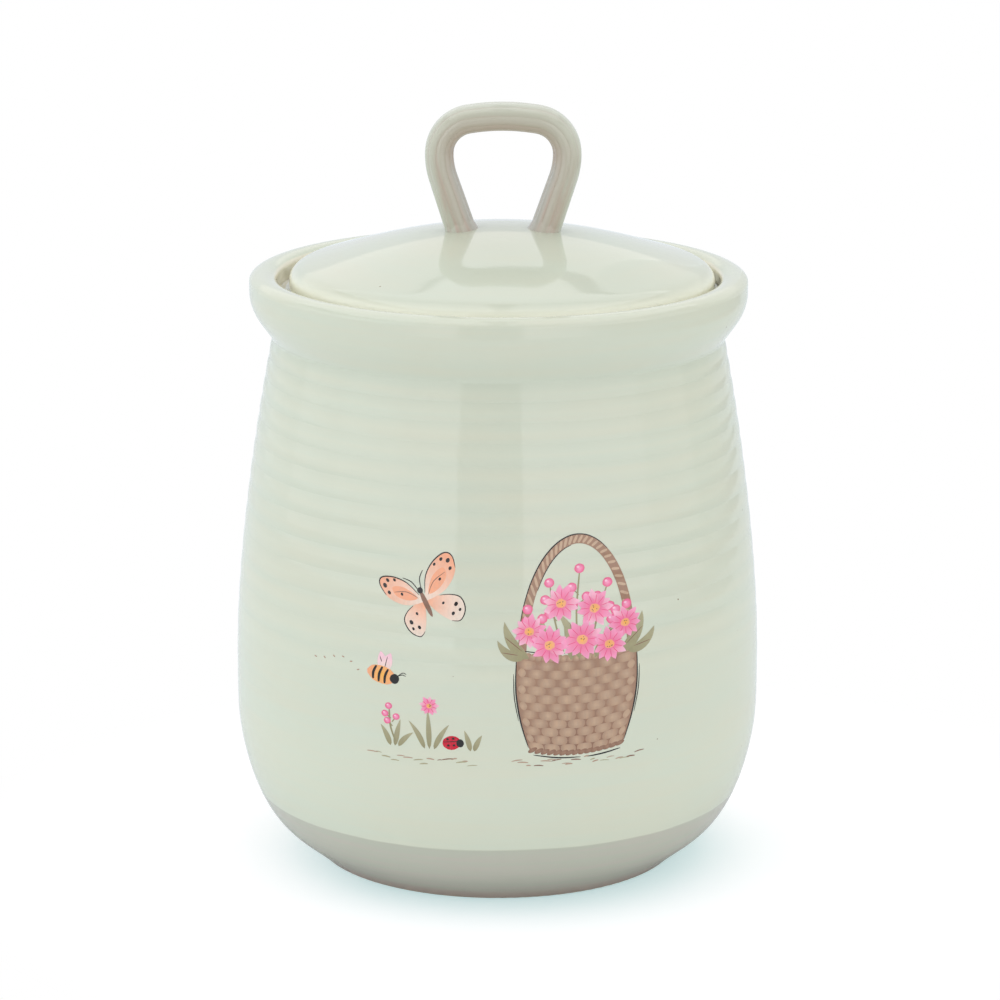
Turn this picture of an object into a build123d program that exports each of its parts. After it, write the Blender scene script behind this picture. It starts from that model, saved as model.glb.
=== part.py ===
from build123d import *
import os
from math import cos, pi, radians, sin

# Biscuit jar: a bellied pottery body with throwing ridges and a rolled collar, and a low domed lid with
# a fluted strap handle. The lid drops on a ledge inside the collar and closes on a silicone ring.
# Millimetres, +Z up, origin at the centre of the foot.

# Body, outside
foot_radius = 52.2            # outer edge of the ring that the jar stands on
foot_edge_round = 0.9
foot_slope = 45.0             # lean of the wall above the foot, degrees from level
heel_radius = 64.1            # where the wall turns up from the foot
heel_height = 10.0
flank_radius = 75.0           # the lower belly
flank_height = 36.0
belly_radius = 76.0           # widest part
belly_height = 60.0
waist_radius = 64.9           # crease under the collar
waist_height = 152.9
shoulder_power = 1.63         # how late the shoulder turns in

# Body, throwing ridges: fingers leave wider bands lower down, and they fade out above the belly
ridge_count = 13
ridge_clear = 8.0             # lowest groove above the widest part
ridge_growth = 0.096          # each band is wider than the one above by twice this
ridge_bulge = 0.24            # how far the top band stands out from its two grooves
ridge_bulge_least = 0.10      # the same for the lowest band
crease_round = 1.3

# Collar, measured out and up from the crease under it
collar_overhang = 6.6
collar_slope = 60.0           # lean of its underside at the crease, degrees from level
collar_flare = 4.3            # how far the underside has come out at collar_flare_rise
collar_flare_rise = 6.2
collar_band_rise = 13.6       # the collar's side is upright from here up
collar_band = 2.8             # height of the upright side
rim_width = 7.9
rim_crown = 2.3               # rise of the rounded top
ledge_drop = 4.2              # ledge that carries the lid, below the rounded top
ledge_width = 5.1
ledge_round = 0.8

# Body, inside
wall = 5.0
neck_drop = 2.5               # the mouth is straight down to here, below the crease
inside_grooves = (2, 6, 10)   # the wall has its thickness at the height of these grooves
floor_height = 8.5            # inside floor above the table
foot_ring_width = 5.5
foot_recess = 2.4
foot_recess_round = 1.0

# Lid
lid_shift = 1.0               # the lid lies this far off centre, along +X
lid_gap = 1.5                 # edge to collar, where the lid is nearest to it
lid_edge_depth = 2.1          # underside below the widest line of the edge
lid_edge_round = 0.8
dome_rise = 15.5              # crown of the dome above the widest line
dome_flank_inset = 23.1       # from the widest line
dome_flank_rise = 10.4
dome_brow_inset = 6.6
dome_brow_rise = 5.7
lid_wall = 5.2
hollow_slope = 45.0           # where the spigot's inside turns into the dome's, degrees from level
spigot_wall = 4.8
spigot_bead = 1.0             # how far the bead that keeps the ring on stands out
spigot_bead_height = 3.2
spigot_round = 1.1

# Sealing ring
seal_thickness = 1.5
seal_sleeve = 1.3
seal_fin_count = 2
seal_fin_width = 2.2          # from the lid's spigot
seal_fin_thickness = 0.9
seal_fin_gap = 1.3
seal_end = 0.3                # sleeve below the last fin
seal_round = 0.5
seat_clearance = 0.3          # ring above ledge
running_clearance = 0.3       # ring to collar and mouth, where the lid is nearest to them

# Handle
handle_shift = 0.2            # the handle is stuck on this far from the lid's centre, along +X
handle_width = 44.8           # outside to outside
handle_rise = 35.9            # above the crown of the dome
strap_thickness = 8.2
strap_depth = 10.6
leg_growth = 1.08             # the legs thicken to this share of the strap
flute_count = 9
flute_bulge = 0.58            # how far each rib stands out from its two flutes
flute_round = 0.3
crown_radius = 60.0
crown_angle = 9.6
haunch_radius = 22.0
leg_lean = 18.7               # degrees from upright
foot_swell = 0.5              # collar of slip round each foot
foot_swell_height = 2.6
foot_sink = 4.0               # length of leg made below the dome, before it is cut to it


shoulder_rise = waist_height - belly_height
shoulder_inset = belly_radius - waist_radius
ridge_pitch = (shoulder_rise - ridge_clear) / ridge_count - ridge_growth * ridge_count


def shoulder(height):
    """Outside radius of the body above the belly."""
    return belly_radius - shoulder_inset * ((height - belly_height) / shoulder_rise) ** shoulder_power


def ridge_groove(index):
    """Point of a groove between two ridges, counted down from the collar."""
    height = waist_height - ridge_pitch * index - ridge_growth * index**2
    return shoulder(height), height


def slope(angle):
    """Direction that climbs outwards, degrees from level."""
    return cos(radians(angle)), sin(radians(angle))


def corners(section, *points):
    """The section's vertices that lie nearest to the points."""
    return [section.vertices().sort_by_distance(Vector(*point))[0] for point in points]


collar_radius = waist_radius + collar_overhang
collar_band_height = waist_height + collar_band_rise
rim_height = collar_band_height + collar_band
rim_mid_radius = collar_radius - rim_width / 2
gallery_radius = collar_radius - rim_width
ledge_height = rim_height - ledge_drop
mouth_radius = gallery_radius - ledge_width
neck_bottom = waist_height - neck_drop
foot_ring_inner = foot_radius - foot_ring_width
foot_run, foot_climb = slope(foot_slope)
inner_heel = (heel_radius - wall * foot_climb, heel_height + wall * foot_run)
lowest_groove = ridge_groove(ridge_count)
lowest_share = ridge_clear / shoulder_rise
lowest_lean = -shoulder_inset / shoulder_rise * shoulder_power * lowest_share ** (shoulder_power - 1)

with BuildPart() as jar_body:
    with BuildSketch(Plane.XZ) as body_section:
        with BuildLine() as body_outline:
            Line((0, foot_recess), (foot_ring_inner, foot_recess))
            Line((foot_ring_inner, foot_recess), (foot_ring_inner, 0))
            Line((foot_ring_inner, 0), (foot_radius, 0))
            Spline(
                (foot_radius, 0),
                (heel_radius, heel_height),
                (flank_radius, flank_height),
                (belly_radius, belly_height),
                tangents=[slope(foot_slope), (0, 1)],
            )
            Spline((belly_radius, belly_height), lowest_groove, tangents=[(0, 1), (lowest_lean, 1)])
            for index in range(ridge_count, 0, -1):
                fade = (index - 1) / (ridge_count - 1)
                bulge = ridge_bulge + (ridge_bulge_least - ridge_bulge) * fade
                SagittaArc(ridge_groove(index), ridge_groove(index - 1), -bulge)
            Spline(
                (waist_radius, waist_height),
                (waist_radius + collar_flare, waist_height + collar_flare_rise),
                (collar_radius, collar_band_height),
                tangents=[slope(collar_slope), (0, 1)],
            )
            Line((collar_radius, collar_band_height), (collar_radius, rim_height))
            EllipticalCenterArc((rim_mid_radius, rim_height), rim_width / 2, rim_crown, arc_size=180)
            Line((gallery_radius, rim_height), (gallery_radius, ledge_height))
            Line((gallery_radius, ledge_height), (mouth_radius, ledge_height))
            Line((mouth_radius, ledge_height), (mouth_radius, neck_bottom))
            Spline(
                (mouth_radius, neck_bottom),
                *[(radius - wall, height) for radius, height in map(ridge_groove, inside_grooves)],
                (belly_radius - wall, belly_height),
                (flank_radius - wall, flank_height),
                inner_heel,
                (foot_radius - wall, floor_height),
                tangents=[(0, -1), (-1, 0)],
            )
            Line((foot_radius - wall, floor_height), (0, floor_height))
            Line((0, floor_height), (0, foot_recess))
        make_face()
        fillet(corners(body_section, (foot_radius, 0), (foot_ring_inner, 0)), foot_edge_round)
        fillet(corners(body_section, (foot_ring_inner, foot_recess)), foot_recess_round)
        fillet(corners(body_section, (waist_radius, waist_height)), crease_round)
        ledge_corners = corners(body_section, (gallery_radius, ledge_height), (mouth_radius, ledge_height))
        fillet(ledge_corners, ledge_round)
    revolve(axis=Axis.Z)

# Everything on the lid is turned about the lid's own axis
lid_plane = Plane((lid_shift, 0, 0), x_dir=(1, 0, 0), z_dir=(0, -1, 0))
lid_axis = Axis((lid_shift, 0, 0), (0, 0, 1))
lid_underside = ledge_height + seat_clearance + seal_thickness
lid_radius = gallery_radius - lid_shift - lid_gap
lid_edge_height = lid_underside + lid_edge_depth
dome_height = lid_edge_height + dome_rise
dome_flank = Vector(lid_radius - dome_flank_inset, lid_edge_height + dome_flank_rise)
dome_brow = Vector(lid_radius - dome_brow_inset, lid_edge_height + dome_brow_rise)
seal_radius = gallery_radius - lid_shift - running_clearance
seal_fin_radius = mouth_radius - lid_shift - running_clearance
seal_fin_pitch = seal_fin_gap + seal_fin_thickness
spigot_radius = seal_fin_radius - seal_fin_width
bead_top = lid_underside - seal_thickness - seal_fin_count * seal_fin_pitch - seal_end
bead_radius = spigot_radius + spigot_bead
spigot_bottom = bead_top - spigot_bead_height
spigot_inner = spigot_radius - spigot_wall
hollow_edge = (spigot_inner, dome_brow.Y - lid_wall)


def dome_line():
    """Outside of the dome, from its crown to the widest line of the edge."""
    return Spline(
        (0, dome_height),
        dome_flank,
        dome_brow,
        (lid_radius, lid_edge_height),
        tangents=[(1, 0), (0, -1)],
    )


with BuildPart() as lid:
    with BuildSketch(lid_plane) as lid_section:
        with BuildLine() as lid_outline:
            dome_line()
            Line((lid_radius, lid_edge_height), (lid_radius, lid_underside))
            Line((lid_radius, lid_underside), (spigot_radius, lid_underside))
            Line((spigot_radius, lid_underside), (spigot_radius, bead_top))
            Polyline(
                (spigot_radius, bead_top),
                (bead_radius, bead_top - spigot_bead),
                (bead_radius, spigot_bottom),
                (spigot_inner, spigot_bottom),
                hollow_edge,
            )
            run, climb = slope(hollow_slope)
            Spline(
                hollow_edge,
                dome_flank - Vector(0, lid_wall),
                (0, dome_height - lid_wall),
                tangents=[(-run, climb), (-1, 0)],
            )
            Line((0, dome_height - lid_wall), (0, dome_height))
        make_face()
        fillet(corners(lid_section, (lid_radius, lid_underside)), lid_edge_round)
        fillet(corners(lid_section, (bead_radius, spigot_bottom), (spigot_inner, spigot_bottom)), spigot_round)
    revolve(axis=lid_axis)

with BuildPart() as lid_seal:
    with BuildSketch(lid_plane) as seal_section:
        with BuildLine() as seal_outline:
            Polyline(
                (spigot_radius, lid_underside),
                (seal_radius, lid_underside),
                (seal_radius, lid_underside - seal_thickness),
                (spigot_radius + seal_sleeve, lid_underside - seal_thickness),
                (spigot_radius + seal_sleeve, bead_top),
                (spigot_radius, bead_top),
                close=True,
            )
        make_face()
        for fin in range(seal_fin_count):
            fin_top = lid_underside - seal_thickness - seal_fin_gap - fin * seal_fin_pitch
            with BuildLine():
                Polyline(
                    (spigot_radius, fin_top),
                    (seal_fin_radius, fin_top),
                    (seal_fin_radius, fin_top - seal_fin_thickness),
                    (spigot_radius, fin_top - seal_fin_thickness),
                    close=True,
                )
            make_face()
        fillet(
            corners(seal_section, (seal_radius, lid_underside), (seal_radius, lid_underside - seal_thickness)),
            seal_round,
        )
    revolve(axis=lid_axis)

# Handle: half the strap's centre line runs from the crown, over the shoulder and the haunch, down the leg
handle_x = lid_shift + handle_shift
strap_top = dome_height + handle_rise - strap_thickness / 2
strap_reach = (handle_width - strap_thickness) / 2
turned = sin(radians(crown_angle))
strap_shoulder_radius = (strap_reach - crown_radius * turned) / (1 - turned)


def strap_section(place, way, growth=1.0):
    """Oval strap made of round ribs that meet in flutes, square to the strap's way in the XZ plane."""
    points = [
        (
            growth * (strap_thickness - flute_bulge) / 2 * cos(2 * pi * index / flute_count),
            growth * (strap_depth - flute_bulge) / 2 * sin(2 * pi * index / flute_count),
        )
        for index in range(flute_count)
    ]
    with BuildSketch(Plane(place, x_dir=(-way.Z, 0, way.X), z_dir=way)) as section:
        with BuildLine():
            for index, point in enumerate(points):
                SagittaArc(point, points[(index + 1) % flute_count], -flute_bulge)
        make_face()
        fillet(section.vertices(), flute_round)
    return section.sketch


with BuildPart() as lid_handle:
    with BuildLine(Plane.XZ) as strap_line:
        crown = JernArc((handle_x, strap_top), (1, 0), crown_radius, -crown_angle)
        strap_shoulder = JernArc(crown @ 1, crown % 1, strap_shoulder_radius, crown_angle - 90)
        haunch = JernArc(strap_shoulder @ 1, strap_shoulder % 1, haunch_radius, -leg_lean)
    sweep(strap_section(crown @ 0, crown % 0), path=strap_line.wires()[0])
    leg_way = haunch % 1
    leg_length = ((haunch @ 1).Z - dome_height + foot_sink) / cos(radians(leg_lean))
    leg_end = haunch @ 1 + leg_way * leg_length
    loft([strap_section(haunch @ 1, leg_way), strap_section(leg_end, leg_way, leg_growth)])
    slip_height = foot_sink + foot_swell_height
    for rise, swell in ((0, foot_swell * slip_height / foot_swell_height), (slip_height, -flute_bulge)):
        with BuildSketch(Plane(leg_end - leg_way * rise, x_dir=(0, 1, 0), z_dir=leg_way)):
            Ellipse(leg_growth * strap_depth / 2 + swell, leg_growth * strap_thickness / 2 + swell)
    loft()
    mirror(about=Plane.YZ.offset(handle_x))
    with BuildSketch(lid_plane) as dome_region:
        with BuildLine():
            dome_line()
            Polyline((lid_radius, lid_edge_height), (0, lid_edge_height), (0, dome_height))
        make_face()
    revolve(axis=lid_axis, mode=Mode.SUBTRACT)

pieces = {"jar_body": jar_body, "lid": lid, "lid_seal": lid_seal, "lid_handle": lid_handle}
os.makedirs("parts", exist_ok=True)
for name, piece in pieces.items():
    piece.part.label = name
    export_step(piece.part, f"parts/{name}.step")
    print(name, round(piece.part.volume), piece.part.is_valid)
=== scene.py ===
import cmath
import math
import random
import bmesh
import bpy
from mathutils import Matrix, Vector
from mathutils.bvhtree import BVHTree
from mathutils.geometry import delaunay_2d_cdt
from mathutils.interpolate import poly_3d_calc


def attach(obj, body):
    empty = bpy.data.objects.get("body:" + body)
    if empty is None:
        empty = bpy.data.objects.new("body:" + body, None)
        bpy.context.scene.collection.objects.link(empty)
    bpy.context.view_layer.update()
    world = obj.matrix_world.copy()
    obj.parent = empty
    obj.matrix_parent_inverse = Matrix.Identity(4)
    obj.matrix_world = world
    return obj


# A glazed pottery biscuit jar: cream glaze over a taupe dipped foot, a domed lid with a taupe handle.
# Lengths in the shaders and in the drawing are millimetres, those of the studio are metres.

mm = 0.001

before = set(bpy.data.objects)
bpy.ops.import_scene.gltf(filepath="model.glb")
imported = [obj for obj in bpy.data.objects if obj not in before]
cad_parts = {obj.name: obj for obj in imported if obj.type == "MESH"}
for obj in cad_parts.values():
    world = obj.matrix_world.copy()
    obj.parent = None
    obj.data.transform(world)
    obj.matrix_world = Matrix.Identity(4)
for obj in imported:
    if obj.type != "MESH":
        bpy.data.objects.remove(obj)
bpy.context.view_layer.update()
print("frame loaded:", ", ".join(sorted(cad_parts)))


class Wire:
    # a socket that takes part in Python expressions; each operator adds one Math node

    def __init__(self, shader, socket):
        self.shader = shader
        self.socket = socket

    def maths(self, operation, *others):
        return self.shader.add("Math", {"operation": operation}, dict(enumerate([self, *others])))

    def __add__(self, other):
        return self.maths("ADD", other)

    def __sub__(self, other):
        return self.maths("SUBTRACT", other)

    def __mul__(self, other):
        return self.maths("MULTIPLY", other)

    def __truediv__(self, other):
        return self.maths("DIVIDE", other)

    def __pow__(self, other):
        return self.maths("POWER", other)

    def __rsub__(self, other):
        return self.shader.add("Math", {"operation": "SUBTRACT"}, {0: other, 1: self})

    __radd__ = __add__
    __rmul__ = __mul__


class Shader:
    # the nodes of one material, or of the world

    def __init__(self, block):
        block.use_nodes = True
        self.block, self.tree = block, block.node_tree
        self.tree.nodes.clear()

    def add(self, kind, settings=None, sockets=None, output=0):
        node = self.tree.nodes.new("ShaderNode" + kind)
        for name, value in (settings or {}).items():
            if name == "stops":
                self.setStops(node.color_ramp, value)
            else:
                setattr(node, name, value)
        for name, value in (sockets or {}).items():
            self.feed(node.inputs[name], value)
        return Wire(self, node.outputs[output]) if node.outputs else node

    def feed(self, socket, value):
        if isinstance(value, Wire):
            self.tree.links.new(value.socket, socket)
        elif socket.type == "RGBA" and len(value) == 3:
            socket.default_value = (*value, 1)
        else:
            socket.default_value = value

    def setStops(self, ramp, stops):
        while len(ramp.elements) < len(stops):
            ramp.elements.new(1)
        for element, (place, colour) in zip(ramp.elements, stops):
            element.position = place
            element.color = (*colour, 1)

    def place(self):
        # the point on the piece itself, in millimetres, so that it stays put when the piece moves
        return self.scaled(self.add("TexCoord", output="Object"), 1 / mm)

    def axes(self, vector):
        split = self.add("SeparateXYZ", sockets={0: vector})
        return [Wire(self, out) for out in split.socket.node.outputs]

    def scaled(self, vector, factor):
        return self.add("VectorMath", {"operation": "SCALE"}, {0: vector, "Scale": factor})

    def stretched(self, vector, factors):
        return self.add("VectorMath", {"operation": "MULTIPLY"}, {0: vector, 1: factors})

    def noise(self, vector, scale=1.0, detail=2.0, roughness=0.5):
        return self.add("TexNoise", {"noise_dimensions": "3D"},
                        {"Vector": vector, "Scale": scale, "Detail": detail, "Roughness": roughness})

    def step(self, value, start, end):
        # 0 before the start and 1 past the end, smooth between them; the end may be the lower of the two
        return self.add("MapRange", {"interpolation_type": "SMOOTHSTEP"},
                        {"Value": value, "From Min": start, "From Max": end})

    def band(self, value, start, full, last, end):
        # 0 before the start, 1 from full to last, and 0 again past the end
        return self.step(value, start, full) * self.step(value, end, last)

    def blend(self, factor, first, second):
        return self.add("Mix", {"data_type": "RGBA"}, {0: factor, 6: first, 7: second}, output=2)

    def bump(self, height):
        # height in millimetres
        return self.add("Bump", sockets={"Height": height, "Strength": 1.0, "Distance": mm})

    def matt(self, colour):
        return self.add("BsdfDiffuse", sockets={"Color": colour})

    def surface(self, **sockets):
        named = {name.replace("_", " "): value for name, value in sockets.items()}
        return self.close(self.add("BsdfPrincipled", sockets=named))

    def close(self, last):
        kind = "OutputWorld" if isinstance(self.block, bpy.types.World) else "OutputMaterial"
        self.add(kind, sockets={"Surface": last})
        return self.block


creamGlaze = {
    "warm": (0.614, 0.631, 0.502), "cool": (0.590, 0.640, 0.522), "thin": (0.632, 0.622, 0.505),
    "streak": (0.012, 0.012, 0.30), "cloud": (0.03, 0.03, 0.05),  # per millimetre across, deep and up
    "speck": (0.23, 0.17, 0.10), "speckSize": 0.05, "speckShare": (0.66, 0.68),
    "roughness": 0.045, "smear": 0.03, "smearScale": 0.08, "peel": 0.012, "peelScale": 0.16, "ior": 1.5,
}
taupeGlaze = {
    "grey": (0.511, 0.496, 0.422), "green": (0.486, 0.507, 0.417), "pink": (0.500, 0.405, 0.345),
    "grain": (0.02, 0.02, 0.5), "roughness": 0.10,
}


def creamColour(shader, place):
    # long level streaks left by throwing, over slow clouds
    streak = shader.noise(shader.stretched(place, creamGlaze["streak"]), detail=4, roughness=0.6)
    cloud = shader.noise(shader.stretched(place, creamGlaze["cloud"]), detail=2)
    tone = shader.step(streak * 0.6 + cloud * 0.4, 0.30, 0.70)
    return shader.blend(tone, creamGlaze["warm"], creamGlaze["cool"]), streak


def specked(shader, place, colour, scale):
    # pinholes and iron specks, few and small
    size = creamGlaze["speckSize"]
    cells = shader.add("TexVoronoi", {"feature": "F1"}, {"Vector": place, "Scale": scale})
    pick = shader.step(shader.noise(place, scale=scale * 0.31, detail=0), *creamGlaze["speckShare"])
    return shader.blend(shader.step(cells, size, size * 0.5) * pick, colour, creamGlaze["speck"])


def smear(shader, place):
    # slow changes of the gloss
    return shader.noise(place, scale=creamGlaze["smearScale"], detail=3) * creamGlaze["smear"]


def peel(shader, place):
    # the faint swell of a thick glaze, in millimetres
    return shader.noise(place, scale=creamGlaze["peelScale"], detail=2) * creamGlaze["peel"]


def creamCoat(shader, place, colour):
    # a colour under the smooth clear glaze
    return shader.surface(Base_Color=colour, Roughness=creamGlaze["roughness"] + smear(shader, place),
                          IOR=creamGlaze["ior"], Normal=shader.bump(peel(shader, place)))


jarBody = {
    # the throwing ridges: each is wider than the one above it by twice the growth
    "waist": 152.9, "pitch": 5.283, "growth": 0.096, "ridged": (66.0, 74.0, 151.0, 153.0),
    "poolingAndShade": 0.030, "coolGrooves": 0.35, "warmCrests": 0.6, "specks": 0.16,
    # painted light: the body is painted paler lower down: from this height down to that, and by how much
    "paintedLightBelow": ((60, 32, 0.032), (105, 70, 0.027)), "evenTone": -0.005,
    "crease": (149.5, 152.5, 153.5, 156.0), "coolCrease": 0.8,
    "rim": (169.4, 171.4), "thinRim": 0.05,
    "galleryRadius": 64.2, "galleryFoot": (160.0, 163.0), "galleryPaintedLight": (0.80, 0.76, 0.62),
    "dipHeight": 20.4, "dipWave": 0.5, "dipSoft": 0.30, "dipTilt": 0.0044, "dipStep": 0.06,
    "footShadeHeights": (5.0, 0.5), "footShadeShare": 0.8,
    "clay": (0.55, 0.44, 0.34), "clayHeights": (0.55, 0.33), "clayRadius": 46.5, "clayRoughness": 0.75,
    "turning": (0.01, 0.01, 1.1), "turningDepth": 0.02,
}


def bodyGlaze():
    shader = Shader(bpy.data.materials.new("dipped_glaze"))
    place = shader.place()
    x, y, z = shader.axes(place)
    radius = (x * x + y * y) ** 0.5
    cream, streak = creamColour(shader, place)

    # glaze pools in the grooves between the throwing ridges and thins over the crests; the tone below also
    # paints shade into the grooves and light onto the crests
    depth = (jarBody["waist"] - z) * (4 * jarBody["growth"]) + jarBody["pitch"] ** 2
    index = (depth.maths("MAXIMUM", 0.01) ** 0.5 - jarBody["pitch"]) * (0.5 / jarBody["growth"])
    crest = index.maths("PINGPONG", 0.5) * 2
    ridged = shader.band(z, *jarBody["ridged"])
    groove = shader.step(crest, 0.55, 0.0) * ridged * jarBody["coolGrooves"]
    cream = shader.blend(groove, cream, creamGlaze["cool"])
    worn = shader.step(crest, 0.6, 1.0) * ridged * streak * jarBody["warmCrests"]
    cream = shader.blend(worn, cream, creamGlaze["warm"])
    # painted shade in the grooves and painted light on the crests, over the pooled glaze
    tone = (crest - 0.5) * (ridged * (streak + 0.5) * jarBody["poolingAndShade"]) + 1
    # painted light: paler towards the lower body
    for high, low, gain in jarBody["paintedLightBelow"]:
        tone = tone + shader.step(z, high, low) * gain
    cream = shader.scaled(cream, tone + jarBody["evenTone"])
    crease = shader.band(z, *jarBody["crease"]) * jarBody["coolCrease"]
    cream = shader.blend(crease, cream, creamGlaze["cool"])

    # the rim wears the glaze thin
    rim = shader.step(z, *jarBody["rim"]) * jarBody["thinRim"]
    cream = shader.blend(rim, cream, creamGlaze["thin"])
    cream = specked(shader, place, cream, jarBody["specks"])

    # painted light: a paler, warmer tone on the wall inside the collar, where the lid sits
    inside = shader.step(radius, jarBody["galleryRadius"] + 0.5, jarBody["galleryRadius"] - 0.3)
    cream = shader.blend(inside * shader.step(z, *jarBody["galleryFoot"]), cream, jarBody["galleryPaintedLight"])

    # the foot was dipped first, by hand, so the line waves and tips a little
    wander = shader.noise(shader.stretched(place, (0.03, 0.03, 0.0)), detail=2) - 0.5
    line = z - x * jarBody["dipTilt"] - wander * (2 * jarBody["dipWave"]) - jarBody["dipHeight"]
    above = shader.step(line, -jarBody["dipSoft"], jarBody["dipSoft"])
    grain = shader.noise(shader.stretched(place, taupeGlaze["grain"]), detail=4)
    taupe = shader.blend(shader.step(grain, 0.35, 0.65), taupeGlaze["grey"], taupeGlaze["green"])
    # painted shade: the foot is painted a darker pink over its lowest few millimetres, where it turns under
    pink = shader.step(z, *jarBody["footShadeHeights"]) * jarBody["footShadeShare"]
    colour = shader.blend(above, shader.blend(pink, taupe, taupeGlaze["pink"]), cream)

    # bare clay where the foot ring was wiped
    clay = shader.step(z, *jarBody["clayHeights"])
    clay = clay * shader.step(radius, jarBody["clayRadius"] - 0.3, jarBody["clayRadius"] + 0.3)
    colour = shader.blend(clay, colour, jarBody["clay"])

    gloss = creamGlaze["roughness"] + (1 - above) * (taupeGlaze["roughness"] - creamGlaze["roughness"])
    gloss = gloss + smear(shader, place) + clay * (jarBody["clayRoughness"] - taupeGlaze["roughness"])
    turned = shader.noise(shader.stretched(place, jarBody["turning"]), detail=3) * jarBody["turningDepth"]
    height = turned + peel(shader, place) + above * jarBody["dipStep"]
    return shader.surface(Base_Color=colour, Roughness=gloss, IOR=creamGlaze["ior"],
                          Normal=shader.bump(height))


# the lid's lower brow is painted light and warm
jarLid = {"share": 0.95, "edge": (0.845, 0.865, 0.72), "edgeHeights": (173.4, 170.4), "specks": 0.13}


def lidGlaze():
    shader = Shader(bpy.data.materials.new("lid_glaze"))
    place = shader.place()
    x, y, z = shader.axes(place)
    cream, streak = creamColour(shader, place)
    cream = specked(shader, place, shader.scaled(cream, jarLid["share"]), jarLid["specks"])
    # painted light: the lid's lower brow is painted light and warm
    cream = shader.blend(shader.step(z, *jarLid["edgeHeights"]), cream, jarLid["edge"])
    return creamCoat(shader, place, cream)


strap = {
    # the centre line: a flat crown, a bend on each side and two leaning legs
    "middle": 1.2, "top": 216.3, "crown": 60.0, "joint": 10.0, "reach": 18.3, "bend": 9.95, "spring": 205.65,
    "lean": 0.3385, "ease": 1.23, "slant": 0.96, "depth": 5.3, "thick": 4.1, "flutes": 9,
    # colours round the strap, from its outside to its inside: painted light outside and painted shade inside
    "round": [(0.10, (0.570, 0.590, 0.500)), (0.34, (0.490, 0.495, 0.395)), (0.58, (0.490, 0.455, 0.370)),
              (0.80, (0.460, 0.385, 0.310))],
    "line": (0.490, 0.375, 0.305), "grey": (0.490, 0.480, 0.425),
    "streaks": (5.5, 0.05, 0.05), "streaky": 0.22, "cloudy": 0.25, "blush": 0.6, "dull": 0.04,
}


def handleGlaze():
    shader = Shader(bpy.data.materials.new("handle_glaze"))
    place = shader.place()
    x, y, z = shader.axes(place)

    # how far outside the strap's centre line: over the crown, round the bend and down the leaning leg
    side = (x - strap["middle"]).maths("ABSOLUTE")
    crown = z - strap["top"] + side * side * (0.5 / strap["crown"])
    run = side - (strap["reach"] - strap["bend"])
    climb = z - strap["spring"]
    bend = (run * run + climb * climb) ** 0.5 - strap["bend"]
    lean = (climb * climb * strap["lean"] ** 2 + strap["ease"] ** 2) ** 0.5 - strap["ease"]
    leg = (side - strap["reach"] + lean) * strap["slant"]
    upper = shader.step(side, strap["joint"] - 0.5, strap["joint"] + 0.5)
    lower = shader.step(climb, 0.5, -0.5)
    out = crown * (1 - upper) + bend * upper
    out = out * (1 - lower) + leg * lower

    # 0 on the outside of the loop, 1 on its inside, the same to the front and the back
    turn = (y.maths("ABSOLUTE") / strap["depth"]).maths("ARCTAN2", out / strap["thick"]) * (1 / math.pi)
    along = shader.stretched(shader.add("CombineXYZ", sockets={0: turn, 1: z, 2: x}), strap["streaks"])
    streak = shader.noise(along, detail=4, roughness=0.6)
    cloud = shader.noise(place, scale=0.07, detail=2)
    warp = turn + (streak - 0.5) * strap["streaky"] + (cloud - 0.5) * strap["cloudy"]
    # painted light and shade: lighter on the outside of the loop, darker on its inside
    colour = shader.add("ValToRGB", {"stops": strap["round"]}, {0: warp})
    # painted shade: the inner faces of the legs are greyer
    inside = shader.step(turn, 0.62, 0.80) * shader.step(climb, 0, -6)
    colour = shader.blend(inside, colour, strap["grey"])

    # a darker brown along the flutes, most of all low on the legs
    flute = (turn * (strap["flutes"] / 2)).maths("PINGPONG", 0.5) * 2
    low = shader.step(z, 212, 188)
    fluteBrown = shader.step(flute, 0.45, 0.0) * (0.20 + shader.step(streak, 0.42, 0.62) * 0.45)
    colour = shader.blend(fluteBrown * (0.35 + low * 0.65), colour, strap["line"])
    blush = shader.band(turn, 0.20, 0.34, 0.42, 0.56) * low * shader.step(streak, 0.35, 0.55)
    colour = shader.blend(blush * strap["blush"], colour, strap["line"])
    return shader.surface(Base_Color=colour, Roughness=taupeGlaze["roughness"] + streak * strap["dull"],
                          IOR=creamGlaze["ior"], Normal=shader.bump(peel(shader, place)))


jarSeal = {"dull": (0.62, 0.64, 0.62), "clear": (0.70, 0.72, 0.70), "roughness": 0.42, "grain": 0.01,
           "ior": 1.41}


def sealRubber():
    shader = Shader(bpy.data.materials.new("seal_silicone"))
    place = shader.place()
    cloud = shader.noise(place, scale=0.2, detail=3)
    grain = shader.noise(place, scale=2.5, detail=2) * jarSeal["grain"]
    colour = shader.blend(cloud, jarSeal["dull"], jarSeal["clear"])
    return shader.surface(Base_Color=colour, Roughness=cloud * 0.1 + jarSeal["roughness"],
                          IOR=jarSeal["ior"], Normal=shader.bump(grain))


finishes = {"jar_body": bodyGlaze(), "lid": lidGlaze(), "lid_handle": handleGlaze(), "lid_seal": sealRubber()}
for name, material in finishes.items():
    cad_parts[name].material_slots[0].material = material
print("glazes mixed")


# A small hand-drawn scene fired under the glaze: a basket of daisies, a butterfly, a bee and a ladybird.
# A point of the drawing is a complex number in millimetres, across the front and up from the foot.

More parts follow.
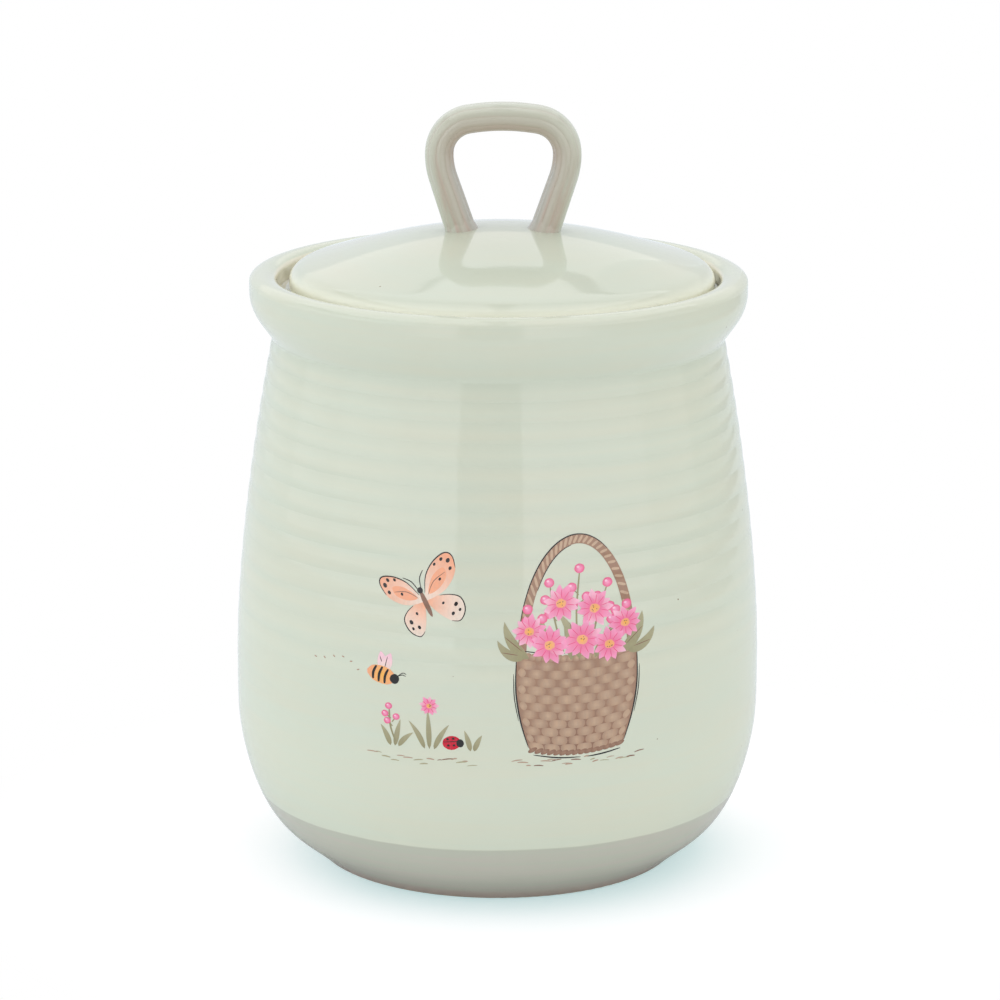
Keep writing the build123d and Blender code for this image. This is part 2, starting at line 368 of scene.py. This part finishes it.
inks = {
    "bark": (0.330, 0.198, 0.130), "shade": (0.235, 0.125, 0.083), "straw": (0.520, 0.368, 0.250),
    "rose": (0.760, 0.105, 0.235), "pink": (0.870, 0.360, 0.540), "blush": (0.890, 0.520, 0.640),
    "leaf": (0.300, 0.275, 0.150), "sage": (0.400, 0.375, 0.235), "ink": (0.014, 0.012, 0.013),
    "shell": (0.800, 0.680, 0.570), "salmon": (0.830, 0.375, 0.220), "gold": (0.870, 0.440, 0.075),
    "red": (0.550, 0.010, 0.032), "dust": (0.440, 0.310, 0.225),
}
drawing = {
    "lift": 0.034,  # off the glaze
    "grid": 1.0,  # longest side of a patch
    "seed": 11,
    "basket": {"centre": 22.0, "foot": 50.0, "height": 27.0, "topWidth": 33.0, "footWidth": 26.0,
               "belly": 1.6, "sag": 1.5, "rows": 11, "columns": 6, "arch": 33.0, "winds": 35},
    "butterfly": {"place": -20 + 93j, "size": 1.15, "turn": 0.45},
    "bee": {"place": -32 + 71j, "size": 1.05, "turn": -0.25},
    "ladybird": {"place": -12.5 + 53.2j, "size": 1.05},
    "earth": ((-5, -36, 15), (5, 40, 19)),  # from here, to there, strokes
}


def smooth(points, steps=6, closed=False):
    # a curve through the points (Catmull-Rom)
    count = len(points)
    spans = count if closed else count - 1
    curve = []
    for i in range(spans):
        if closed:
            a, b, c, d = (points[(i + k) % count] for k in (-1, 0, 1, 2))
        else:
            a, b, c, d = (points[min(max(i + k, 0), count - 1)] for k in (-1, 0, 1, 2))
        for step in range(steps):
            t = step / steps
            curve.append(0.5 * (2 * b + (c - a) * t + (2 * a - 5 * b + 4 * c - d) * t**2
                                + (3 * b - a - 3 * c + d) * t**3))
    return curve if closed else curve + [points[-1]]


class Drawing:
    # collects inked shapes and lays them on the surface as one thin mesh

    def __init__(self, seed):
        self.random = random.Random(seed)
        self.shapes = []

    def fill(self, outline, ink, tip=None, root=0j, reach=1.0):
        # tip is the ink far from the root; the paint runs from one to the other
        self.shapes.append((outline, inks[ink], inks[tip or ink], root, reach))

    def stroke(self, points, width, ink, taper=0.25):
        # a pen line, thin at its ends
        path = smooth(points, 5)
        left, right = [], []
        for i, point in enumerate(path):
            ahead = path[min(i + 1, len(path) - 1)] - path[max(i - 1, 0)]
            side = 1j * ahead / abs(ahead)
            t = i / (len(path) - 1)
            half = width / 2 * (taper + (1 - taper) * math.sin(math.pi * t) ** 0.6)
            left.append(point + side * half)
            right.append(point - side * half)
        self.fill(left + right[::-1], ink)

    def oval(self, centre, across, up, ink, turn=0.0, tip=None, steps=18, wobble=0.03):
        outline = []
        for i in range(steps):
            angle = 2 * math.pi * i / steps
            size = 1 + self.random.uniform(-wobble, wobble)
            outline.append(centre + size * complex(across * math.cos(angle), up * math.sin(angle))
                           * cmath.exp(1j * turn))
        self.fill(outline, ink, tip, centre, max(across, up))

    def blade(self, root, length, width, turn, ink, tip=None, bend=0.0, blunt=0.6):
        # a petal or a leaf: pointed at its root, bent along its length
        sides = [], []
        for i in range(11):
            t = i / 10
            spine = root + cmath.exp(1j * (turn + bend * t)) * length * t
            half = width / 2 * math.sin(math.pi * t ** blunt) ** 0.8
            across = 1j * cmath.exp(1j * (turn + 1.6 * bend * t))
            sides[0].append(spine + across * half)
            sides[1].append(spine - across * half)
        self.fill(sides[0] + sides[1][-2:0:-1], ink, tip, root, length)

    def lay(self, name, body):
        # the outlines are cut against one another, and each part takes the ink of the shape on top
        points, rings = [], []
        for shape in self.shapes:
            outline = finer(shape[0], drawing["grid"])
            rings.append(range(len(points), len(points) + len(outline)))
            points += outline
        points += inner(points, drawing["grid"])
        dots = [Vector((point.real, point.imag)) for point in points]
        cut = delaunay_2d_cdt(dots, [], rings, 1, 1e-4)
        flat, faces, owners = cut[0], cut[2], cut[-1]
        build = bmesh.new()
        colours = build.loops.layers.float_color.new("ink")
        surface = BVHTree.FromObject(body, bpy.context.evaluated_depsgraph_get())
        made, normals = {}, []
        for face, shapes in zip(faces, owners):
            if not shapes:
                continue
            for corner in face:
                if corner not in made:
                    place, normal = landed(flat[corner], body, surface)
                    made[corner] = build.verts.new(place)
                    normals.append(normal)
            patch = build.faces.new([made[corner] for corner in face])
            patch.smooth = True
            outline, near, far, root, reach = self.shapes[max(shapes)]
            for loop, corner in zip(patch.loops, face):
                share = min(1.0, abs(complex(*flat[corner]) - root) / reach)
                loop[colours] = (*(n + (f - n) * share for n, f in zip(near, far)), 1)
        mesh = bpy.data.meshes.new(name)
        build.to_mesh(mesh)
        build.free()
        mesh.normals_split_custom_set_from_vertices(normals)
        piece = bpy.data.objects.new(name, mesh)
        bpy.context.scene.collection.objects.link(piece)
        return piece


def finer(outline, grid):
    # the outline anticlockwise, with no side longer than the grid
    area = sum((a.conjugate() * b).imag for a, b in zip(outline, outline[1:] + outline[:1]))
    outline = outline if area > 0 else outline[::-1]
    return [start + (end - start) * k / parts for start, end in zip(outline, outline[1:] + outline[:1])
            for parts in [math.ceil(abs(end - start) / grid) or 1] for k in range(parts)]


def inner(points, grid):
    # a grid of points over the drawing, so that it can follow the body
    xs, zs = [p.real / grid for p in points], [p.imag / grid for p in points]
    return [complex(x, z) * grid for x in range(math.ceil(min(xs)), math.floor(max(xs)) + 1)
            for z in range(math.ceil(min(zs)), math.floor(max(zs)) + 1)]


def landed(point, body, surface):
    # where a point of the drawing lands on the body, and how the body faces there
    start = Vector((point[0] * mm, -1, point[1] * mm))
    hit, _, index, _ = surface.ray_cast(start, Vector((0, 1, 0)))
    corners = [body.data.vertices[i] for i in body.data.polygons[index].vertices]
    shares = poly_3d_calc([corner.co for corner in corners], hit)
    normal = sum((corner.normal * share for corner, share in zip(corners, shares)), Vector()).normalized()
    return hit + normal * drawing["lift"] * mm, normal


def drawDaisy(art, centre, size, turn, petals=11):
    for i in range(petals):
        angle = turn + 2 * math.pi * i / petals + art.random.uniform(-0.08, 0.08)
        length = size * art.random.uniform(0.9, 1.08)
        art.blade(centre, length, size * 0.52, angle, "rose", art.random.choice(["pink", "blush", "pink"]),
                  bend=art.random.uniform(-0.15, 0.15), blunt=0.72)
    for i in range(petals):
        angle = turn + 2 * math.pi * (i + 0.5) / petals
        art.stroke([centre + cmath.rect(size * reach, angle) for reach in (0.3, 0.75)], 0.22, "rose")
    art.oval(centre, size * 0.27, size * 0.24, "gold", tip="salmon", wobble=0.08)
    for i in range(5):
        spot = centre + cmath.rect(size * art.random.uniform(0.05, 0.18), art.random.uniform(0, 6.3))
        art.oval(spot, 0.16, 0.16, "shade", steps=7)


def drawSprig(art, root, head, size):
    # round berries on a branching stalk
    lean = (head - root) / abs(head - root)
    art.stroke([root, (root + head) / 2 + lean * 0.6j, head], 0.5, "leaf", 0.7)
    for reach, turn in ((0.0, 0.0), (0.28, 0.75), (0.40, -0.8), (0.52, 0.6)):
        fork = head - (head - root) * reach
        berry = fork + lean * cmath.exp(1j * turn) * size * (1.1 if turn else 0.5)
        art.stroke([fork, (fork + berry) / 2, berry], 0.32, "leaf", 0.6)
        art.oval(berry, size * 0.52, size * 0.50, "pink", tip="rose", wobble=0.04)
        art.oval(berry + size * (-0.14 + 0.16j), size * 0.15, size * 0.12, "blush", steps=9)


def drawBasket(art):
    size = drawing["basket"]
    middle, foot, height = size["centre"], size["foot"], size["height"]

    def spot(across, up):
        # across from -1 to 1, up from 0 to 1; the sides belly out and the courses sag
        half = size["footWidth"] / 2 + (size["topWidth"] - size["footWidth"]) / 2 * up
        half += size["belly"] * math.sin(math.pi * up)
        return complex(middle + half * across, foot + height * up + size["sag"] * across**2)

    def bow(angle, out=0.0):
        reach, rise = size["topWidth"] * 0.46 + out, size["arch"] + out
        return complex(middle - reach * math.cos(angle), foot + height + rise * math.sin(angle))

    # the arched handle stands behind the flowers, wound with straw
    turns = [math.pi * i / 24 for i in range(25)]
    art.stroke([bow(turn) for turn in turns], 2.5, "bark", 0.9)
    winds = size["winds"]
    for i in range(1, winds):
        turn = math.pi * i / winds
        art.stroke([bow(turn - 0.035, -1.0), bow(turn + 0.035, 1.0)], 0.75, "straw", 0.5)
    art.stroke([bow(turn, 1.3) for turn in turns[2:17]], 0.36, "ink")
    art.stroke([bow(turn, -1.35) for turn in turns[5:12]], 0.26, "ink")

    outline = [spot(-1 + 2 * i / 12, 0) for i in range(13)] + [spot(1, i / 8) for i in range(1, 8)]
    outline += [spot(1 - 2 * i / 12, 1) for i in range(13)] + [spot(-1, 1 - i / 8) for i in range(1, 8)]
    art.fill(outline, "shade", "bark", spot(0, 0), size["topWidth"] / 2)

    # the weave: short staves that pass over every other rib
    rows, columns = size["rows"], size["columns"]
    nick, swell = 0.3 / rows, 0.10 / rows
    for row in range(rows):
        low, high = (row + 0.06) / (rows + 0.5), (row + 0.94) / (rows + 0.5)
        for column in range(columns + row % 2):
            left = max(-0.97, -1 + (2 * column - (row % 2)) / columns + 0.012)
            right = min(0.97, -1 + (2 * column + 2 - (row % 2)) / columns - 0.012)
            ring = [spot(left, low + nick), spot(left, high - nick),
                    spot(left + 0.03, high), spot((left + right) / 2, high + swell), spot(right - 0.03, high),
                    spot(right, high - nick), spot(right, low + nick),
                    spot(right - 0.03, low), spot((left + right) / 2, low - swell), spot(left + 0.03, low)]
            art.fill(smooth(ring, 2, True), "straw", "bark", sum(ring) / len(ring),
                     art.random.uniform(2.2, 3.4))

    # the border, a plait of slanting strands, and a foot band
    for up, wide, thick, count, ink, tip in ((1.0, "topWidth", 1.45, 19, "straw", "bark"),
                                             (0.0, "footWidth", 1.0, 15, "bark", "shade")):
        for i in range(count):
            art.oval(spot(-1 + 2 * (i + 0.5) / count, up), size[wide] / count * 0.78, thick * 0.62, ink,
                     turn=0.45, tip=tip)

    # loose pen lines beside the sides, under the foot and over the border
    for side in (-1, 1):
        art.stroke([spot(side * 1.01, t) for t in (0.02, 0.3, 0.62, 0.97)], 0.42, "ink")
        art.stroke([spot(side * 1.045, t) for t in (0.3, 0.55, 0.8)], 0.25, "ink")
    for up, width, line in ((-0.055, 0.38, (-0.95, -0.4, 0.1)), (-0.06, 0.42, (0.25, 0.6, 0.98)),
                            (1.05, 0.3, (-1.0, -0.55, -0.2)), (1.055, 0.3, (0.3, 0.7, 1.02))):
        art.stroke([spot(x, up) for x in line], width, "ink")
    return spot


def drawFlowers(art, spot):
    # leaves: place on the brim, length, width, turn, bend
    for root, length, width, turn, bend in (
            (-0.80, 12.5, 3.0, 2.65, -0.5), (-0.45, 13.0, 3.2, 2.05, -0.3), (-0.1, 12.0, 3.2, 1.45, 0.3),
            (0.3, 13.0, 3.1, 1.15, -0.4), (0.72, 12.5, 3.2, 0.55, 0.5), (0.85, 9.5, 2.8, -0.05, 0.7),
            (-0.88, 9.0, 2.6, 3.25, -0.7), (0.05, 15.0, 2.6, 1.75, 0.25)):
        art.blade(spot(root, 0.98), length, width, turn, "leaf", "sage", bend, 0.8)
        along = cmath.exp(1j * (turn + bend * 0.4))
        art.stroke([spot(root, 1.0) + along * length * share for share in (0.2, 0.7)], 0.24, "shade")

    # sprigs: across and up from the middle of the brim
    middle, brim = drawing["basket"]["centre"], drawing["basket"]["foot"] + drawing["basket"]["height"]
    for across, up in ((-7.5, 23.0), (0.5, 26.5), (8.0, 22.0), (13.0, 15.5), (-13.0, 16.0)):
        drawSprig(art, complex(middle + across * 0.5, brim + 2), complex(middle + across, brim + up - 3), 2.7)

    # daisies: across and up from the middle of the brim, size, turn
    for across, up, size, turn in ((-13.2, 8.0, 4.9, 0.2), (13.4, 8.5, 4.7, 0.5), (-4.5, 15.5, 5.2, 0.1),
                                   (4.8, 13.5, 5.3, 0.0), (-7.6, 4.0, 5.4, 0.4), (1.4, 5.0, 5.6, 0.3),
                                   (9.0, 3.0, 5.0, 0.6)):
        drawDaisy(art, complex(middle + across, brim + up), size, turn)


def drawButterfly(art):
    size, turn = drawing["butterfly"]["size"], drawing["butterfly"]["turn"]

    def at(point):
        return drawing["butterfly"]["place"] + point * size * cmath.exp(1j * turn)

    for side, foreshortened in ((-1, 0.8), (1, 1.0)):
        def wing(*points):
            return smooth([at(complex(side * foreshortened * x, y)) for x, y in points], 5, True)

        upper = wing((0.5, 0.8), (3.5, 6.2), (8.5, 8.6), (10.6, 7.4), (9.8, 3.6), (6.0, 0.6), (1.0, -0.2))
        lower = wing((0.6, -0.2), (4.8, -0.4), (8.2, -2.4), (8.0, -5.8), (5.2, -7.6), (2.2, -4.6))
        art.fill(lower, "salmon", "shell", at(0), 9 * size)
        art.fill(upper, "shell", "salmon", at(0), 12 * size)
        art.fill(wing((1.6, 1.2), (4.2, 4.6), (7.4, 5.6), (7.4, 3.4), (4.6, 1.4)), "salmon")
        for x, y, spot in ((9.3, 6.6, 0.62), (9.0, 4.7, 0.5), (7.9, 7.5, 0.5), (6.6, -3.6, 0.6),
                           (5.0, -5.4, 0.5), (6.9, -5.2, 0.42), (5.6, 3.3, 0.42), (3.9, -2.2, 0.4),
                           (5.9, 7.0, 0.42)):
            art.oval(at(complex(side * foreshortened * x, y)), spot * 0.75 * size, spot * size, "ink",
                     turn=side * -0.5, steps=10)
        art.stroke(upper[1:22:3], 0.36, "ink")
        art.stroke(lower[4:25:3], 0.32, "ink")
        vein = (1.4, 1.0), (4.0, 3.4), (7.6, 4.4)
        art.stroke([at(complex(side * foreshortened * x, y)) for x, y in vein], 0.22, "shade")
        feeler = (0.35, 2.6), (1.1, 5.2), (2.7, 6.8)
        art.stroke([at(complex(side * x, y)) for x, y in feeler], 0.26, "ink", 0.5)
    art.oval(at(-0.8j), 0.62 * size, 3.4 * size, "shade", turn=turn)
    art.oval(at(2.6j), 0.7 * size, 0.75 * size, "ink")


def drawBee(art):
    size, turn = drawing["bee"]["size"], drawing["bee"]["turn"]

    def at(point):
        return drawing["bee"]["place"] + point * size * cmath.exp(1j * turn)

    shoulder = 0.3 + 1.5j
    for lean in (2.0, 1.45):
        art.blade(at(shoulder), 5.0 * size, 2.8 * size, turn + lean, "shell", "blush", blunt=0.7)
        art.stroke([at(shoulder), at(shoulder + cmath.rect(3.8, lean + 0.12))], 0.22, "ink")
    art.oval(at(0), 3.9 * size, 2.4 * size, "gold", turn=turn, tip="salmon")
    for across in (-1.9, -0.3, 1.3):
        reach = 2.15 * math.sqrt(1 - (across / 3.9) ** 2)
        stripe = across + reach * 1j, complex(across - 0.35, 0), across - reach * 1j
        art.stroke([at(point) for point in stripe], 0.72, "ink", 0.6)
    art.oval(at(3.5 + 0.1j), 1.25 * size, 1.35 * size, "ink", turn=turn)
    for lift in (0.9, 0.35):
        feeler = 4.0 + 1.0j, complex(5.2, 1.5 + lift), complex(6.2, 1.4 + lift)
        art.stroke([at(point) for point in feeler], 0.22, "ink")
    for i in range(6):  # the way it came
        spot = at(complex(-6.2 - 2.3 * i, -1.2 + 1.7 * math.sin(0.9 * i)))
        art.oval(spot, 0.42, 0.2, "dust", turn=turn + 0.6 * math.cos(0.9 * i), steps=8)


def drawGround(art):
    # grass: across from the ladybird, lean, length
    spot, size = drawing["ladybird"]["place"], drawing["ladybird"]["size"]
    for across, lean, length in ((-7.5, 1.9, 9.0), (-6.2, 1.6, 11.5), (-4.9, 1.25, 8.5), (-17.0, 1.85, 6.5),
                                 (-15.8, 1.45, 8.0), (-14.8, 1.1, 6.0), (5.2, 1.75, 6.2), (6.2, 1.3, 5.2)):
        art.blade(spot + across - 2.2j, length, 1.5, lean, "leaf", "sage", bend=(1.57 - lean) * -0.6,
                  blunt=0.7)
    drawDaisy(art, spot + complex(-6.3, 10.2), 2.9, 0.1, 9)
    drawSprig(art, spot + complex(-15.6, -1.0), spot + complex(-17.4, 8.2), 1.9)

    art.oval(spot, 2.5 * size, 1.9 * size, "red", turn=0.15)
    art.oval(spot + 2.2 * size, 1.0 * size, 1.1 * size, "ink")
    art.stroke([spot + (-2.4 + 0.1j) * size, spot + 0.35j * size, spot + (1.6 + 0.5j) * size], 0.26, "ink")
    for across, up in ((-1.1, 0.95), (0.4, 1.2), (-0.9, -0.75), (0.6, -0.65)):
        art.oval(spot + complex(across, up) * size, 0.38, 0.34, "ink", steps=9)

    # short level strokes of earth, under the grass and under the basket
    for start, end, count in drawing["earth"]:
        for i in range(count):
            across = start + (end - start) * (i + art.random.uniform(0, 0.9)) / count
            up = drawing["basket"]["foot"] - 1.8 + art.random.uniform(-1.7, 0.4)
            half = art.random.uniform(0.7, 1.6)
            tilt = art.random.uniform(-0.12, 0.25)
            left, right = complex(across - half, up - tilt), complex(across + half, up + tilt)
            width = art.random.uniform(0.22, 0.42)
            ink = art.random.choice(["dust", "dust", "shade", "sage"])
            art.stroke([left, complex(across, up + 0.1), right], width, ink)


def inkGlaze():
    # the drawing lies under the clear glaze, so it has the body's gloss; the paint is brushed, not even
    shader = Shader(bpy.data.materials.new("underglaze_ink"))
    place = shader.place()
    paint = shader.add("VertexColor", {"layer_name": "ink"})
    brushed = shader.noise(shader.stretched(place, (1.1, 1.1, 0.5)), detail=4, roughness=0.65)
    thick = shader.add("HueSaturation", sockets={"Color": paint, "Value": brushed * 0.34 + 0.83,
                                                "Saturation": brushed * 0.2 + 0.9})
    return creamCoat(shader, place, thick)


def addArtwork():
    art = Drawing(drawing["seed"])
    drawGround(art)
    spot = drawBasket(art)
    drawFlowers(art, spot)
    drawButterfly(art)
    drawBee(art)
    piece = art.lay("front_drawing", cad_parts["jar_body"])
    piece.data.materials.append(inkGlaze())
    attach(piece, "jar")
    print("drawing laid:", len(art.shapes), "shapes in", len(piece.data.polygons), "faces")


addArtwork()


studio = {
    "floor": {
        "left": -1.3, "right": 0.75, "front": -0.65, "rear": 2.2, "height": 0.0,
        # to the camera: lit and shadowed round the jar, pure white away from it; the white is centred off the
        # jar and reaches closer on its left, painting light into that side of the shadow
        "lit": (0.84, 0.59, 0.58), "glow": (0.26, 0.495, 0.507), "middle": (20, -6), "fade": (75, 185),
        "leftFade": (-50, -95), "leftShare": 0.4,
        # to the jar: the light it throws up, and how the glaze mirrors it
        "plain": (0.92, 0.93, 0.94), "mirrored": (0.72, 0.76, 0.78),
    },
    "ground": {"left": -4.0, "right": 4.0, "front": -4.0, "rear": 4.0, "height": -0.8,
               "grey": (0.35, 0.35, 0.35)},
    "card": {"left": 0.50, "right": 0.95, "front": -0.65, "rear": 0.9, "height": 0.001,
             "grey": (0.51, 0.52, 0.52)},
    "world": (0.42, 0.42, 0.43),
    "ringDistance": 1.2,
    "ring": {  # softboxes round the jar: azimuths from the front, heights, radiance
        "left_front": (-48, -18, -0.3, 1.1, (0.96, 0.98, 1.03)),
        "left_middle": (-78, -48, -0.3, 1.1, (1.08, 1.13, 1.18)),
        "left_side": (-108, -78, -0.3, 1.1, (0.90, 0.92, 0.97)),
        "left_rear": (-138, -108, -0.3, 1.1, (0.54, 0.55, 0.56)),
        "right_front": (11, 41, -0.3, 1.1, (0.99, 0.97, 1.01)),
        "right_middle": (41, 71, -0.3, 1.1, (0.99, 1.00, 1.04)),
        "right_side": (71, 101, -0.3, 1.1, (0.65, 0.66, 0.65)),
        "right_rear": (101, 127, -0.3, 1.1, (0.32, 0.34, 0.32)),
        "rear_left": (-192, -138, -0.3, 0.55, (0.41, 0.45, 0.50)),
        "rear_left_high": (-192, -138, 0.55, 1.2, (0.78, 0.77, 0.77)),
        "rear_right": (127, 168, -0.3, 0.55, (0.38, 0.41, 0.43)),
        "rear_right_high": (127, 168, 0.55, 1.2, (0.58, 0.61, 0.60)),
    },
    "overhead": {  # place across, place deep, width, depth, height, radiance
        "top_left": (-0.45, -0.1, 0.8, 1.0, 1.2, (1.30, 1.30, 1.34)),
        "top_right": (0.45, -0.1, 0.8, 1.0, 1.2, (1.18, 1.17, 1.20)),
        "top_rear": (0.0, 0.8, 1.6, 0.7, 1.2, (1.0, 1.01, 1.02)),
    },
}
cameraSetup = {"elevation": 13.942, "roll": 0.197, "distance": 1.25, "target": (0.000612, 0, 0.103863),
               "lens": 154.83, "sensor": 36, "nearest": 0.05, "farthest": 20}


def addSlab(name, size, material):
    mesh = bpy.data.meshes.new(name)
    corners = [(size[side], size[end], size["height"]) for side, end in
               (("left", "front"), ("right", "front"), ("right", "rear"), ("left", "rear"))]
    mesh.from_pydata(corners, [], [(0, 1, 2, 3)])
    mesh.materials.append(material)
    slab = bpy.data.objects.new(name, mesh)
    bpy.context.scene.collection.objects.link(slab)
    return slab


def addGround():
    # the dark room floor below the white table
    shader = Shader(bpy.data.materials.new("room_floor"))
    ground = addSlab("ground", studio["ground"], shader.close(shader.matt(studio["ground"]["grey"])))
    ground.visible_camera = False


def addCard():
    # a grey card beside the jar, which shows only in the gloss of its right side
    shader = Shader(bpy.data.materials.new("card_grey"))
    card = addSlab("grey_card", studio["card"], shader.close(shader.matt(studio["card"]["grey"])))
    card.visible_camera = card.visible_diffuse = card.visible_shadow = False


def addFloor():
    size = studio["floor"]
    shader = Shader(bpy.data.materials.new("studio_floor"))
    x, y, z = shader.axes(shader.place())
    x, y = x - size["middle"][0], y - size["middle"][1]
    # painted light: the shadow fades to white sooner on the jar's left
    leftSide = shader.step(x, *size["leftFade"]) * size["leftShare"]
    away = shader.step((x * x + y * y) ** 0.5, *size["fade"]).maths("MAXIMUM", leftSide)
    glow = shader.add("Emission", sockets={"Color": size["glow"], "Strength": 1.0})
    near = shader.add("AddShader", sockets={0: shader.matt(size["lit"]), 1: glow})
    white = shader.add("Emission", sockets={"Color": (1, 1, 1), "Strength": 1.0})
    shown = shader.add("MixShader", sockets={0: away, 1: near, 2: white})
    inGloss = shader.add("LightPath", output="Is Glossy Ray")
    thrown = shader.add("MixShader", sockets={0: inGloss, 1: shader.matt(size["plain"]),
                                              2: shader.matt(size["mirrored"])})
    seen = shader.add("LightPath", output="Is Camera Ray")
    both = shader.add("MixShader", sockets={0: seen, 1: thrown, 2: shown})
    floor = addSlab("floor", size, shader.close(both))


def addWorld():
    # white to the camera, a dim room to the jar
    world = bpy.data.worlds.new("studio_world")
    bpy.context.scene.world = world
    shader = Shader(world)
    seen = shader.add("LightPath", output="Is Camera Ray")
    dim = shader.add("Background", sockets={"Color": studio["world"]})
    white = shader.add("Background", sockets={"Color": (1, 1, 1)})
    shader.close(shader.add("MixShader", sockets={0: seen, 1: dim, 2: white}))


def addPanel(name, place, aim, width, height, radiance):
    # a softbox that looks as bright as its radiance, whatever its size
    light = bpy.data.lights.new(name, "AREA")
    light.shape = "RECTANGLE"
    light.size, light.size_y = width, height
    power = max(radiance)
    light.color = [part / power for part in radiance]
    light.energy = power * math.pi * width * height
    panel = bpy.data.objects.new(name, light)
    panel.location = place
    panel.rotation_euler = (Vector(aim) - Vector(place)).to_track_quat("-Z", "Y").to_euler()
    panel.visible_camera = False
    bpy.context.scene.collection.objects.link(panel)


def addLights():
    distance = studio["ringDistance"]
    for name, (start, end, low, high, radiance) in studio["ring"].items():
        turn, half = math.radians((start + end) / 2), math.radians((end - start) / 2)
        middle = (low + high) / 2
        place = (distance * math.sin(turn), -distance * math.cos(turn), middle)
        addPanel(name, place, (0, 0, middle), 2 * distance * math.tan(half), high - low, radiance)
    for name, (across, deep, width, depth, up, radiance) in studio["overhead"].items():
        addPanel(name, (across, deep, up), (across, deep, 0), width, depth, radiance)


def addCamera():
    data = bpy.data.cameras.new("camera")
    data.lens, data.sensor_width = cameraSetup["lens"], cameraSetup["sensor"]
    data.clip_start, data.clip_end = cameraSetup["nearest"], cameraSetup["farthest"]
    camera = bpy.data.objects.new("camera", data)
    tip, roll = math.radians(cameraSetup["elevation"]), math.radians(cameraSetup["roll"])
    back = Vector((0, -math.cos(tip), math.sin(tip))) * cameraSetup["distance"]
    turn = Matrix.Rotation(math.pi / 2 - tip, 4, "X") @ Matrix.Rotation(roll, 4, "Z")
    camera.matrix_world = Matrix.Translation(Vector(cameraSetup["target"]) + back) @ turn
    bpy.context.scene.collection.objects.link(camera)
    bpy.context.scene.camera = camera


addGround()
addCard()
addFloor()
addWorld()
addLights()
addCamera()
bpy.context.scene.view_settings.view_transform = "Standard"
print("studio set")
